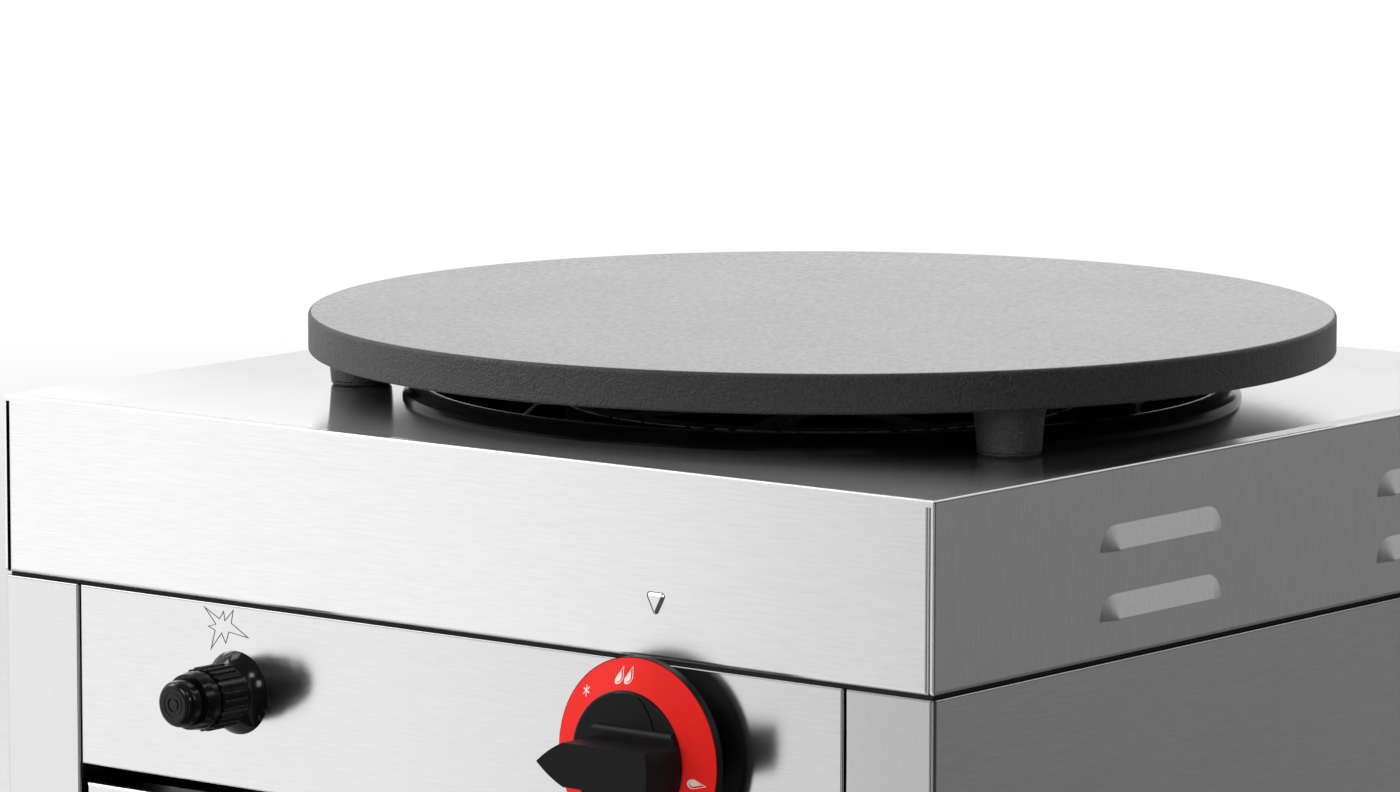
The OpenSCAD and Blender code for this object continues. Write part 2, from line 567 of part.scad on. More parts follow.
module tap_screws() color(steel_dark) for (s = [-15, 15]) translate([knob_x + s, -hd, control_z]) rotate([90, 0, 0]) screw(2, 4, 3.6, 2.2);
module magnet_unit() {
    color(brass) difference() {
        union() {
            ycyl(8, -178, -171.9, knob_x, control_z);
            yhex(11, -172, -166, knob_x, control_z);
            ycyl(7.5, -166.1, -148, knob_x, control_z);
            yhex(6, -148.1, -142, knob_x, control_z);
        }
        ycyl(1.8, -150, -141, knob_x, control_z);
    }
}
inlet_pts = [[knob_x + 24, tap_y, control_z], [rail_x, tap_y, control_z], [rail_x, 190, control_z]];
burner_pts = [[knob_x - 24, tap_y, control_z], [0, tap_y, control_z], [0, tap_y, ven_z], [0, -170.1, ven_z]];
module inlet_pipe() color(alu) hollow_bent(inlet_pts, 5, 4, 15);
module burner_pipe() color(alu) hollow_bent(burner_pts, 4, 3, 14);
module pipe_nuts() {
    color(brass) {
        difference() { xhex(9.5, knob_x + 24, knob_x + 34, tap_y, control_z); xcyl(5 + e, knob_x + 20, knob_x + 40, tap_y, control_z); }
        difference() { xhex(8.5, knob_x - 34, knob_x - 24, tap_y, control_z); xcyl(4 + e, knob_x - 40, knob_x - 20, tap_y, control_z); }
        difference() { yhex(10, 178, 188, rail_x, control_z); ycyl(5 + e, 170, 190, rail_x, control_z); }
        difference() { yhex(8, -185.5, -178, 0, ven_z); ycyl(4 + e, -190, -170, 0, ven_z); }
    }
}
module gas_inlet() {
    color(brass) difference() {
        union() {
            ycyl(8.5, 188, 202, rail_x, control_z);
            ycyl(10.45, 201.9, hd - t + 0.1, rail_x, control_z);
            yhex(15.6, hd - t, hd + 11, rail_x, control_z);
            ycyl(9, hd + 10.9, hd + 20, rail_x, control_z);
            ycyl(10.478, hd + 19.9, inlet_end, rail_x, control_z);
        }
        ycyl(7, 195, inlet_end + 1, rail_x, control_z);
        ycyl(5 + e, 187, 190, rail_x, control_z);
        ycyl(4, 189, 196, rail_x, control_z);
        rotate([0, 0, 0]) translate([rail_x, inlet_end - 1, control_z]) rotate([-90, 0, 0]) cylinder(r1 = 7, r2 = 8.1, h = 1.1);
    }
}
module inlet_locknut() {
    color(brass) difference() {
        yhex(15.6, hd - 2 * t - 6, hd - 2 * t, rail_x, control_z);
        ycyl(10.5, hd - 12, hd, rail_x, control_z);
    }
}

// ---------- ignition and flame sensing ----------

el = [-90.4, -72.7];
tc = [knob_x, 72.7];
module thermocouple() {
    color(brass) {
        zcyl(3, bowl_floor - 1, burner_z - 1.5, tc[0], tc[1]);
        translate([tc[0], tc[1], burner_z - 1.5]) sphere(3, $fn = 48);
        zcyl(4, bowl_floor - 8, bowl_floor + 6, tc[0], tc[1]);
        zhex(7, bowl_floor - 6.4, bowl_floor - 1.4, tc[0], tc[1]);
        bent([[tc[0], tc[1], bowl_floor - 7], [tc[0], tc[1], control_z], [knob_x, -149, control_z]], 1.5, 8);
    }
}
module electrode_ceramic() {
    color(white) difference() {
        union() {
            zcyl(4, bowl_floor - 20, burner_z - 11, el[0], el[1]);
            translate([el[0], el[1], burner_z - 11.01]) cylinder(r1 = 4, r2 = 2.4, h = 3);
            zcyl(6.5, bowl_floor - 5.4, bowl_floor - 1.4, el[0], el[1]);
        }
        zcyl(1 + e, bowl_floor - 22, burner_z, el[0], el[1]);
    }
}
module electrode_pin() {
    // bare wire that leans over towards the burner's ring
    u = -[el[0], el[1], 0] / norm(el);
    a = [el[0], el[1], burner_z - 7.6];
    b = a + 5 * u + [0, 0, 4.4];
    color(steel_dark) {
        zcyl(1, bowl_floor - 22, a[2] + 0.7, el[0], el[1]);
        run(a, b, 0.92);
        run(b - 0.5 * u, b + 6 * u + [0, 0, 0.5], 0.84);
    }
}
module ignition_lead() {
    color(black) bent([[el[0], el[1], bowl_floor - 22], [el[0], el[1], control_z], [-igniter_x, el[1], control_z], [-igniter_x, -160, control_z]], 2, 6);
}
module igniter_body() {
    color(black) difference() {
        union() {
            ycyl(15, -hd + t, -hd + t + 3, -igniter_x, control_z);
            ycyl(10, -hd + t + 2.9, -165, -igniter_x, control_z);
            ycyl(6, -165.1, -160, -igniter_x, control_z);
            ycyl(9.6, -hd - 9.5, -hd + t + 0.1, -igniter_x, control_z);
        }
        ycyl(8.2, -hd - 10, -hd - 1, -igniter_x, control_z);
        ycyl(5.3, -hd - 2, -hd + 16, -igniter_x, control_z);
    }
}
module igniter_collar() {
    color(black) translate([-igniter_x, -hd, control_z]) rotate([90, 0, 0]) difference() {
        union() {
            // domed flange
            rotate_extrude() intersection() {
                translate([0, -10.2]) circle(18.9);
                translate([0, 0]) square([16, 12]);
            }
            cylinder(r = 11.6, h = 20);
            cylinder(r = 11.1, h = 23.4);
            translate([0, 0, 23.39]) cylinder(r1 = 11.1, r2 = 10.5, h = 3.8);
            for (i = [0:23]) rotate([0, 0, 15 * i]) translate([11.5, 0, 7]) cylinder(r = 0.75, h = 12.6);
        }
        translate([0, 0, -1]) cylinder(r = 9.65, h = 11.6);
        translate([0, 0, -1]) cylinder(r = 8.98, h = 40);
    }
}
module igniter_button() {
    r = 8.9;
    color(black) translate([-igniter_x, -hd, control_z]) rotate([90, 0, 0]) {
        rotate_extrude() difference() {
            union() {
                translate([0, 16]) square([r, 16]);
                translate([0, 31]) square([r - 3, 4]);
                intersection() { translate([r - 3, 32]) circle(3); translate([0, 31]) square([r, 5]); }
            }
            // rings and centre dimple
            translate([6.2, 34.75]) square([0.5, 1]);
            translate([4.2, 34.75]) square([0.5, 1]);
            translate([2.1, 34.5]) square([0.7, 1]);
        }
        translate([0, 0, -9]) cylinder(r = 5, h = 26);
    }
}
module igniter_spring() {
    color(steel_dark) translate([-igniter_x, -hd, control_z]) rotate([90, 0, 0]) coil(6.7, 0.5, 1.1, 15.9, 6);
}
// printed spark above the igniter, a thin outline with seven points
spark = [[-11.1, 7.3], [-3, 3.4], [-0.8, 6.6], [-0.1, 3], [4.3, 7.5], [3.2, 2.2], [12.3, -2.8], [1.9, -1.5], [0.2, -6.1], [-2, -2.4], [-7.6, -9.2], [-5.4, -1.5], [-9.1, -0.2], [-5, 1]];
function side(p, i) = unit(p[(i + 1) % len(p)] - p[i % len(p)]);
function inset(p, w) = [for (i = [0:len(p) - 1]) let(a = side(p, i + len(p) - 1), b = side(p, i), m = [a[1], -a[0]], n = [b[1], -b[0]]) p[i] + w * (m + n) / (1 + m * n)];
module spark_mark() {
    color(black) translate([-igniter_x - 5.5, -hd, control_z + 24.1]) rotate([90, 0, 0]) linear_extrude(0.12) difference() {
        polygon(spark);
        polygon(inset(spark, 0.26));
    }
}

// ---------- plate ----------

plate_feet = [-30, -150, 90];
module baking_plate() {
    r = plate_d / 2;
    color(iron) {
        rotate_extrude() translate([0, plate_z0]) difference() {
            square([r, plate_t]);
            difference() { translate([r - 1.6, plate_t - 1.6]) square([2, 2]); translate([r - 1.6, plate_t - 1.6]) circle(1.6); }
            difference() { translate([r - 1, -1]) square([2, 2]); translate([r - 1, 1]) circle(1); }
        }
        for (a = plate_feet) rotate([0, 0, a]) translate([183, 0, deck_z + 0.02]) rotate_extrude() {
            polygon([[0, 0], [10.4, 0], [10.4, 1.6], [12.05, 2], [13.1, plate_foot_h - 4], [14.3, plate_foot_h - 0.01], [0, plate_foot_h - 0.01]]);
            intersection() { translate([10.4, 1.6]) circle(1.6); translate([5, 0]) square([8, 1.65]); }
        }
    }
}

// ---------- knob and tap rotor ----------
// local frame: z out of the panel, y up

module on_knob() translate([knob_x, -hd, control_z]) rotate([90, 0, 0]) children();
module tap_plug() {
    color(brass) difference() {
        ycyl(8, -213.9, -184.4, knob_x, control_z);
        ycyl(4 + e, -215, -188, knob_x, control_z);
        ycyl(1.4, -190, -184, knob_x, control_z);
        xcyl(2.5, knob_x, knob_x + 9, tap_y, control_z);
        xcyl(2.5, knob_x - 9, knob_x, tap_y, control_z);
    }
}
module valve_spindle() {
    color(steel_dark) on_knob() {
        difference() {
            translate([0, 0, -22]) cylinder(r = 4, h = 45);
            translate([-5, 2.6, 5]) cube([10, 5, 20]);
        }
        translate([0, 0, -43]) cylinder(r = 1.1, h = 21.1);
    }
}
module spindle_spring() {
    color(steel_dark) on_knob() coil(3, 0.4, -36.9, -22.1, 7);
}
cone_in = [25.3, 16.2];
cone_out = [dial_r - 0.3, 10.2];
module control_knob() {
    r = cone_in[0];
    color(black) on_knob() {
        difference() {
            union() {
                rotate_extrude() polygon([[0, 6.8], [dial_r - 0.5, 6.8], [dial_r, 7.2], [dial_r, 10.4], [cone_out[0], cone_out[1]],
                    [r, cone_in[1] - 0.8], [r, 16.6], [r - 0.4, 17.05], [r - 1, 17.2], [0, 17.2]]);
                cylinder(r = 8, h = 14);
                // slightly raised arch across the boss
                intersection() {
                    linear_extrude(17.55) arch2d();
                    rotate_extrude() polygon([[0, 10], [r - 0.2, 10], [r - 0.2, 16.95], [r - 0.9, 17.55], [0, 17.55]]);
                }
                // pad at the bar's root, its long edges rounded
                intersection() {
                    linear_extrude(40) polygon([[-26.4, 0], [-12.9, 12.4], [28, 12.4], [28, -12.4], [-12.9, -12.4]]);
                    axes([0, 1, 0], [0, 0, 1], [1, 0, 0], [-30, 0, 0]) linear_extrude(60) rrect(-12.4, 12.4, 12, 19.6, [0, 0, 2.2, 2.2]);
                    cylinder(r = r - 0.02, h = 30);
                }
                // grip bar with its pointer
                intersection() {
                    translate([0, 0, 12]) linear_extrude(knob_front - 12) bar2d();
                    union() { cylinder(r = r - 0.02, h = 30); translate([0, 0, 17.6]) cylinder(r = r + 1.1, h = 30); }
                }
            }
            // hollow underside, hub and bore
            rotate_extrude() polygon([[8, 3], [dial_r - 2, 3], [dial_r - 2, 8.4], [22, 13.5], [8, 13.5]]);
            translate([0, 0, -1]) cylinder(r = 12, h = 5.6);
            difference() {
                translate([0, 0, -1]) cylinder(r = 4 + e, h = 24.5);
                translate([-5, 2.7, 8]) cube([10, 5, 20]);
            }
        }
    }
}
// grip bar from the front: straight sides that close to the pointer in two shallow arcs
module bar2d() {
    translate([-0.1, -8.1]) square([28.1, 16.2]);
    intersection() {
        translate([-30, -8.1]) square([30, 16.2]);
        translate([4.7, -31.45]) circle(43);
        translate([4.7, 31.45]) circle(43);
    }
}
// outline of the raised pad across the knob's boss
module arch2d() polygon([for (a = [0:7.5:352.5]) [14.8 * cos(a), 25.6 * sin(a)]]);
module dial_ring() {
    color(red) on_knob() rotate_extrude() polygon([[cone_out[0], cone_out[1] + 0.02], [cone_in[0] + 0.02, cone_in[1] - 0.78], [cone_in[0] + 0.02, cone_in[1]], [cone_out[0] - 0.1, cone_out[1] + 0.5], [cone_out[0], cone_out[1] + 0.35]]);
}
// pictograms of the dial: spark, two large flames, one small flame
function drop(w, h) = concat([[0, h * 0.62]], [for (a = [20:-10:-200]) [w / 2 * cos(a), w / 2 * sin(a) - h * 0.38 + w * 0.12]]);
module flame2d(w, h) {
    difference() { polygon(drop(w, h)); translate([0, -0.02]) polygon(drop(w * 0.82, h * 0.84)); }
    translate([-w * 0.08, -h * 0.09]) polygon(drop(w * 0.64, h * 0.6));
}
module marks2d() {
    rotate(5.5) for (s = [-1, 1]) translate([s * 2.2, 30.6]) multmatrix([[1, 0.22, 0, 0], [0, 1, 0, 0], [0, 0, 1, 0], [0, 0, 0, 1]]) flame2d(3.6, 4.9);
    rotate(-101) translate([0, 30.6]) flame2d(3.6, 4.9);
    rotate(43) translate([0, 31.1]) for (a = [0, 60, 120]) rotate(a) translate([-2.1, -0.22]) square([4.2, 0.44]);
}
module dial_marks() {
    k = (cone_in[1] - cone_out[1] - 0.5) / (cone_out[0] - 0.1 - cone_in[0] - 0.02);
    z1 = cone_in[1] + k * (cone_in[0] + 0.02 - 26);
    z2 = cone_in[1] + k * (cone_in[0] + 0.02 - 36);
    color(white) on_knob() intersection() {
        linear_extrude(20) marks2d();
        rotate_extrude() polygon([[26, z1 + 0.01], [36, z2 + 0.01], [36, z2 + 0.16], [26, z1 + 0.16]]);
    }
}
module knob_clip() {
    color(steel_dark) on_knob() difference() {
        cylinder(r = 9.1, h = 11);
        translate([0, 0, -1]) cylinder(r = 8.05, h = 20);
        translate([0, 0, -1]) cylinder(r = 10, h = 8);
        translate([0, -2, 0]) cube([20, 4, 20]);
    }
}

hood_shell();
hood_gasket();
hood_screws();
side_panel_left();
side_panel_right();
back_panel();
back_panel_screws();
base_pan();
base_screws();
control_panel();
panel_screws();
heat_shield();
stud_nuts();
rubber_feet();
foot_screws();
drawer_runner_left();
drawer_runner_right();
runner_screws();
burner_bowl();
burner_head();
venturi_tube();
air_shutter();
shutter_screw();
injector();
burner_bracket();
tap_body();
tap_bonnet();
tap_screws();
magnet_unit();
inlet_pipe();
burner_pipe();
pipe_nuts();
gas_inlet();
inlet_locknut();
thermocouple();
electrode_ceramic();
electrode_pin();
ignition_lead();
igniter_body();
igniter_collar();
spark_mark();
baking_plate();
tap_plug();
valve_spindle();
spindle_spring();
control_knob();
dial_ring();
dial_marks();
knob_clip();
igniter_button();
igniter_spring();
drawer_tray();
drawer_front();
drawer_handle();
handle_screws();
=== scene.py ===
import math

import bmesh
import bpy
from mathutils import Matrix, Vector

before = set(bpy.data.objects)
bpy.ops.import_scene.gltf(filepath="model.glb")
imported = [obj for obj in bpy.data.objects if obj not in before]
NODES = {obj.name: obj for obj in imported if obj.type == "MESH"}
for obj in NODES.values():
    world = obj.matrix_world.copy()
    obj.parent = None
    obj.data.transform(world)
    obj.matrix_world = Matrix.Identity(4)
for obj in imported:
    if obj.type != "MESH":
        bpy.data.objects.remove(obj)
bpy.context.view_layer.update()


# ---------------------------------------------------------------- helpers for materials

class Nodes:
    """Small builder for one node tree."""

    def __init__(self, tree):
        self.t = tree
        tree.nodes.clear()

    def new(self, kind, **settings):
        n = self.t.nodes.new(kind)
        for k, v in settings.items():
            setattr(n, k, v)
        return n

    def put(self, value, socket):
        if isinstance(value, bpy.types.NodeSocket):
            self.t.links.new(value, socket)
        elif isinstance(value, bpy.types.Node):
            self.t.links.new(value.outputs[0], socket)
        else:
            socket.default_value = value

    def math(self, op, a, b=0.0, c=0.0, clamp=False):
        n = self.new("ShaderNodeMath", operation=op, use_clamp=clamp)
        self.put(a, n.inputs[0])
        self.put(b, n.inputs[1])
        self.put(c, n.inputs[2])
        return n.outputs[0]

    def vmath(self, op, a, b=(0, 0, 0)):
        n = self.new("ShaderNodeVectorMath", operation=op)
        self.put(a, n.inputs[0])
        self.put(b, n.inputs[1])
        return n.outputs["Value"] if op in ("DOT_PRODUCT", "LENGTH", "DISTANCE") else n.outputs["Vector"]

    def remap(self, value, a, b, c=0.0, d=1.0, smooth=False):
        n = self.new("ShaderNodeMapRange", interpolation_type="SMOOTHSTEP" if smooth else "LINEAR", clamp=True)
        for socket, v in zip(n.inputs[:5], (value, a, b, c, d)):
            self.put(v, socket)
        return n.outputs[0]

    def mix(self, factor, a, b):
        n = self.new("ShaderNodeMix", data_type="RGBA")
        self.put(factor, n.inputs[0])
        self.put(a, n.inputs[6])
        self.put(b, n.inputs[7])
        return n.outputs[2]

    def mixv(self, factor, a, b):
        n = self.new("ShaderNodeMix", data_type="VECTOR")
        self.put(factor, n.inputs[0])
        self.put(a, n.inputs[4])
        self.put(b, n.inputs[5])
        return n.outputs[1]

    def object_co(self):
        if not hasattr(self, "_co"):
            self._co = self.new("ShaderNodeTexCoord")
        return self._co.outputs["Object"]

    def object_normal(self):
        self.object_co()
        return self._co.outputs["Normal"]

    def scaled(self, v, s):
        return self.vmath("MULTIPLY", v, s)

    def noise(self, v, scale=1.0, detail=2.0, rough=0.5, distort=0.0, out="Fac"):
        n = self.new("ShaderNodeTexNoise")
        self.put(v, n.inputs["Vector"])
        n.inputs["Scale"].default_value = scale
        n.inputs["Detail"].default_value = detail
        n.inputs["Roughness"].default_value = rough
        n.inputs["Distortion"].default_value = distort
        return n.outputs[out]

    def spread(self, value):
        """One number on all three channels."""
        n = self.new("ShaderNodeCombineXYZ")
        for s in n.inputs:
            self.put(value, s)
        return n.outputs[0]

    def bump(self, height, strength, distance, normal=None):
        n = self.new("ShaderNodeBump")
        n.inputs["Strength"].default_value = strength
        n.inputs["Distance"].default_value = distance
        self.put(height, n.inputs["Height"])
        if normal is not None:
            self.put(normal, n.inputs["Normal"])
        return n.outputs[0]

    def principled(self, **sockets):
        p = self.new("ShaderNodeBsdfPrincipled")
        for k, v in sockets.items():
            self.put(v, p.inputs[k.replace("_", " ")])
        out = self.new("ShaderNodeOutputMaterial")
        self.t.links.new(p.outputs[0], out.inputs[0])
        return p


def material(name):
    m = bpy.data.materials.new(name)
    m.use_nodes = True
    return m, Nodes(m.node_tree)


def rgb(r, g, b):
    """Linear colour from an sRGB one, 0 to 255."""
    lin = lambda c: c / 255 / 12.92 if c <= 10.3 else ((c / 255 + 0.055) / 1.055) ** 2.4
    return (lin(r), lin(g), lin(b), 1.0)


def brushed(name, grain, tint=0.70, rough=0.27, deck_rough=None, along=40.0, across=1050.0, streak=1.0, fall=None, aniso=0.5, shade=None, mark=False, painted_inner_shade=False):
    """Brushed stainless steel. grain: x, y or z along the brushing, or "sheet" for one sheet folded down from a deck
    brushed along x.
    fall: (z low, z high, factor at the low end) for a skirt whose colour is painted a little darker towards its lower
    edge, as painted shade.
    shade: (z low, z high, factor at the high end) for a folded edge that lies in the shadow of the sheet above.
    mark: darkens the groove round the raised index mark almost to black, paints shade into the open seams at the four
    corners, and paints shade on the lower half of the folds along the two sides."""
    m, n = material(name)
    co = n.object_co()
    bend = n.noise(co, 22.0, 1.0, 0.5)
    wavy = n.vmath("ADD", co, n.vmath("MULTIPLY", (0.0016, 0.0016, 0.0016), n.spread(bend)))
    way = {"x": (along, across, across), "y": (across, along, across), "z": (across, across, along)}
    if grain == "sheet":
        side = n.math("GREATER_THAN", n.math("ABSOLUTE", n.vmath("DOT_PRODUCT", n.object_normal(), (1, 0, 0))), 0.7)
        lines = n.mixv(side, n.scaled(wavy, way["x"]), n.scaled(wavy, (across * 0.7, across * 0.7, 90.0)))
        wide = n.mixv(side, n.scaled(wavy, (6.0, 300, 300)), n.scaled(wavy, (300, 300, 2.0)))
    else:
        side = None
        lines = n.scaled(wavy, way[grain])
        wide = n.scaled(wavy, tuple(6.0 if v == along else 300 for v in way[grain]))
    fine_lines = n.noise(lines, 1.0, 3.0, 0.6)
    bands = n.noise(wide, 1.0, 2.0, 0.5)
    cloud = n.noise(co, 9.0, 3.0, 0.6)
    # colour: faint streaks and a very slow cloud, as on a handled sheet
    streaks = n.remap(fine_lines, 0.25, 0.75, -0.045 * streak, 0.045 * streak)
    if side is not None:
        streaks = n.math("MULTIPLY", streaks, n.math("MULTIPLY_ADD", side, 0.8, 1.0))
    tone = n.math("ADD", n.math("ADD", streaks, 1.0), n.remap(bands, 0.3, 0.7, -0.004 * streak, 0.004 * streak))
    tone = n.math("ADD", tone, n.remap(cloud, 0.3, 0.7, -0.008, 0.008))
    sep = n.new("ShaderNodeSeparateXYZ")
    n.put(co, sep.inputs[0])
    if fall is not None:
        # painted shade: the colour darkens towards the lower edge of the skirt
        tone = n.math("MULTIPLY", tone, n.remap(sep.outputs[2], fall[0], fall[1], fall[2], 1.0, smooth=True))
    if shade is not None:
        tone = n.math("MULTIPLY", tone, n.remap(sep.outputs[2], shade[0], shade[1], 1.0, shade[2]))
    if painted_inner_shade:
        # painted shade: the folds inside the cabinet, behind the front and within the sides, are darkened by 85%
        deep = n.math("GREATER_THAN", sep.outputs[1], FRONT_Y + 0.0022)
        inner = n.math("LESS_THAN", n.math("ABSOLUTE", sep.outputs[0]), HALF_X - 0.0006)
        tone = n.math("MULTIPLY", tone, n.math("SUBTRACT", 1.0, n.math("MULTIPLY", n.math("MULTIPLY", deep, inner), 0.85)))
    if mark:
        # the faces in the groove round the index mark are darkened almost to black
        deep = n.math("MULTIPLY", n.math("GREATER_THAN", sep.outputs[1], FRONT_Y + 0.00006), n.math("LESS_THAN", sep.outputs[1], FRONT_Y + 0.0006))
        near = n.math("MULTIPLY", n.math("LESS_THAN", n.math("ABSOLUTE", n.math("SUBTRACT", sep.outputs[0], 0.1)), 0.0058), n.math("COMPARE", sep.outputs[2], CABINET_TOP + 0.022, 0.008))
        tone = n.math("MULTIPLY", tone, n.math("SUBTRACT", 1.0, n.math("MULTIPLY", n.math("MULTIPLY", deep, near), 0.93)))
        # painted shade: the faces in the open seams at the four corners are darkened almost to black too
        slot = n.math("COMPARE", n.math("ABSOLUTE", sep.outputs[0]), HALF_X - 0.0021, 0.0005)
        inward = n.math("COMPARE", n.math("ABSOLUTE", sep.outputs[1]), -FRONT_Y - 0.0006, 0.00045)
        low = n.math("LESS_THAN", sep.outputs[2], RIM_Z - 0.002)
        tone = n.math("MULTIPLY", tone, n.math("SUBTRACT", 1.0, n.math("MULTIPLY", n.math("MULTIPLY", slot, inward), n.math("MULTIPLY", low, 0.93))))
        # the lower half of the fold along the two sides is darkened, so that its bright line is as thin as in the photograph
        bend = n.math("MULTIPLY", n.math("COMPARE", n.math("ABSOLUTE", sep.outputs[0]), HALF_X, 0.0007), n.math("COMPARE", sep.outputs[2], RIM_Z - 0.00058, 0.00034))
        tone = n.math("MULTIPLY", tone, n.math("SUBTRACT", 1.0, n.math("MULTIPLY", bend, 0.62)))
    colour = n.vmath("MULTIPLY", (tint, tint, tint), n.spread(tone))
    roughness = n.math("ADD", n.remap(fine_lines, 0.25, 0.75, rough - 0.015, rough + 0.015), n.remap(cloud, 0.3, 0.7, -0.008, 0.01))
    height = n.math("ADD", fine_lines, n.math("MULTIPLY", bands, 0.1))
    if deck_rough is not None:
        up = n.remap(n.vmath("DOT_PRODUCT", n.object_normal(), (0, 0, 1)), 0.8, 0.98)
        flat = n.math("ADD", n.remap(fine_lines, 0.25, 0.75, deck_rough - 0.01, deck_rough + 0.01), n.remap(cloud, 0.3, 0.7, -0.005, 0.008))
        mixed = n.new("ShaderNodeMix", data_type="FLOAT")
        n.put(up, mixed.inputs[0])
        n.put(roughness, mixed.inputs[2])
        n.put(flat, mixed.inputs[3])
        roughness = mixed.outputs[0]
        # painted shade: the deck behind its front strip is toned down by up to 36% to a grey
        back = n.remap(sep.outputs[1], -0.2, -0.1)
        colour = n.vmath("MULTIPLY", colour, n.spread(n.math("SUBTRACT", 1.0, n.math("MULTIPLY", n.math("MULTIPLY", up, back), 0.36))))
        # the brushing of the deck is seen almost along the sheet, where it smears what stands behind it
        height = n.math("MULTIPLY", height, n.math("MULTIPLY_ADD", up, DECK_LINES, 1.0))
        # the front strip of the deck, wiped and scraped most, has lost its gloss
        wiped = n.math("MULTIPLY", up, n.remap(sep.outputs[1], -0.19, -0.11, 0.34, 0.03, smooth=True))
        metallic = n.math("SUBTRACT", 1.0, wiped)
    else:
        metallic = 1.0
    p = n.principled(Base_Color=colour, Metallic=metallic, Roughness=roughness, Normal=n.bump(height, 0.06 * streak, 0.00004))
    p.inputs["Anisotropic"].default_value = aniso
    cross = {"x": (0, 0, 1), "y": (0, 0, 1), "z": (0, 1, 0)}
    if side is not None:
        # across the brushing: z on the front and back, y on the deck and on the sides
        flat_up = n.math("GREATER_THAN", n.math("ABSOLUTE", n.vmath("DOT_PRODUCT", n.object_normal(), (0, 0, 1))), 0.7)
        either = n.math("MAXIMUM", side, flat_up)
        tangent = n.mixv(either, (0, 0, 1), (0, 1, 0))
    else:
        tangent = n.new("ShaderNodeCombineXYZ")
        for s, v in zip(tangent.inputs, cross[grain]):
            s.default_value = v
        tangent = tangent.outputs[0]
    n.put(tangent, p.inputs["Tangent"])
    return m


def cast_iron(name, base, rough, grain=0.5, lump=0.5, grain_size=0.00055, lump_size=0.0014, ior=1.9, top_rough=None, worn=False, speck=0.4, underside_painted_light=None, depth=0.0006, top_base=0.075):
    m, n = material(name)
    co = n.object_co()
    grit = n.noise(co, 1.0 / grain_size, 2.0, 0.6)
    lumps = n.noise(co, 1.0 / lump_size, 2.0, 0.5)
    cloud = n.noise(co, 14.0, 3.0, 0.6)
    k = n.math("ADD", n.remap(grit, 0.36, 0.64, 1 - speck, 1 + speck), n.remap(cloud, 0.3, 0.7, -0.12, 0.12))
    colour = n.vmath("MULTIPLY", base, n.spread(k))
    height = n.math("ADD", n.math("MULTIPLY", grit, grain), n.math("MULTIPLY", lumps, lump))
    r = n.math("ADD", n.remap(grit, 0.3, 0.7, rough - 0.05, rough + 0.05), n.remap(cloud, 0.3, 0.7, -0.03, 0.03))
    if top_rough is not None:
        # the cooking face is ground: smoother than the casting's skin
        up = n.remap(n.vmath("DOT_PRODUCT", n.object_normal(), (0, 0, 1)), 0.9, 0.995)
        mixed = n.new("ShaderNodeMix", data_type="FLOAT")
        n.put(up, mixed.inputs[0])
        n.put(r, mixed.inputs[2])
        n.put(n.math("ADD", n.remap(lumps, 0.35, 0.65, top_rough - 0.08, top_rough + 0.08), n.remap(cloud, 0.3, 0.7, -0.02, 0.02)), mixed.inputs[3])
        r = mixed.outputs[0]
        height = n.math("MULTIPLY", height, n.math("SUBTRACT", 1.0, n.math("MULTIPLY", up, 0.72)))
        colour = n.mix(up, colour, n.vmath("MULTIPLY", (top_base,) * 3, n.spread(n.remap(n.math("ADD", grit, lumps), 0.78, 1.22, 0.1, 1.9))))
    if underside_painted_light is not None:
        # painted light: the underside, rough as cast, is painted pale grey to stand in for the light the deck throws up
        # onto it
        down = n.remap(n.vmath("DOT_PRODUCT", n.object_normal(), (0, 0, -1)), 0.9, 0.995)
        colour = n.mix(down, colour, n.vmath("MULTIPLY", (underside_painted_light, underside_painted_light, underside_painted_light), n.spread(n.remap(lumps, 0.3, 0.7, 0.75, 1.25))))
        r = n.math("MAXIMUM", r, n.math("MULTIPLY", down, 0.75))
    metal = 0.0
    if worn:
        # the machined outer rim of the burner's ring is bare metal where it has been handled
        flat = n.vmath("MULTIPLY", co, (1, 1, 0))
        sep = n.new("ShaderNodeSeparateXYZ")
        n.put(co, sep.inputs[0])
        ring = n.remap(n.vmath("LENGTH", flat), BURNER_R - 0.0006, BURNER_R - 0.0002)
        high = n.remap(sep.outputs[2], BURNER_TOP - 0.0005, BURNER_TOP - 0.0002)
        patchy = n.remap(n.noise(co, 160.0, 2.0, 0.6), 0.38, 0.5)
        metal = n.math("MULTIPLY", n.math("MULTIPLY", ring, high), patchy)
        colour = n.mix(metal, colour, (0.75, 0.75, 0.75, 1))
    p = n.principled(Base_Color=colour, Metallic=metal, Roughness=r, Normal=n.bump(height, 1.0, depth))
    p.inputs["IOR"].default_value = ior
    return m


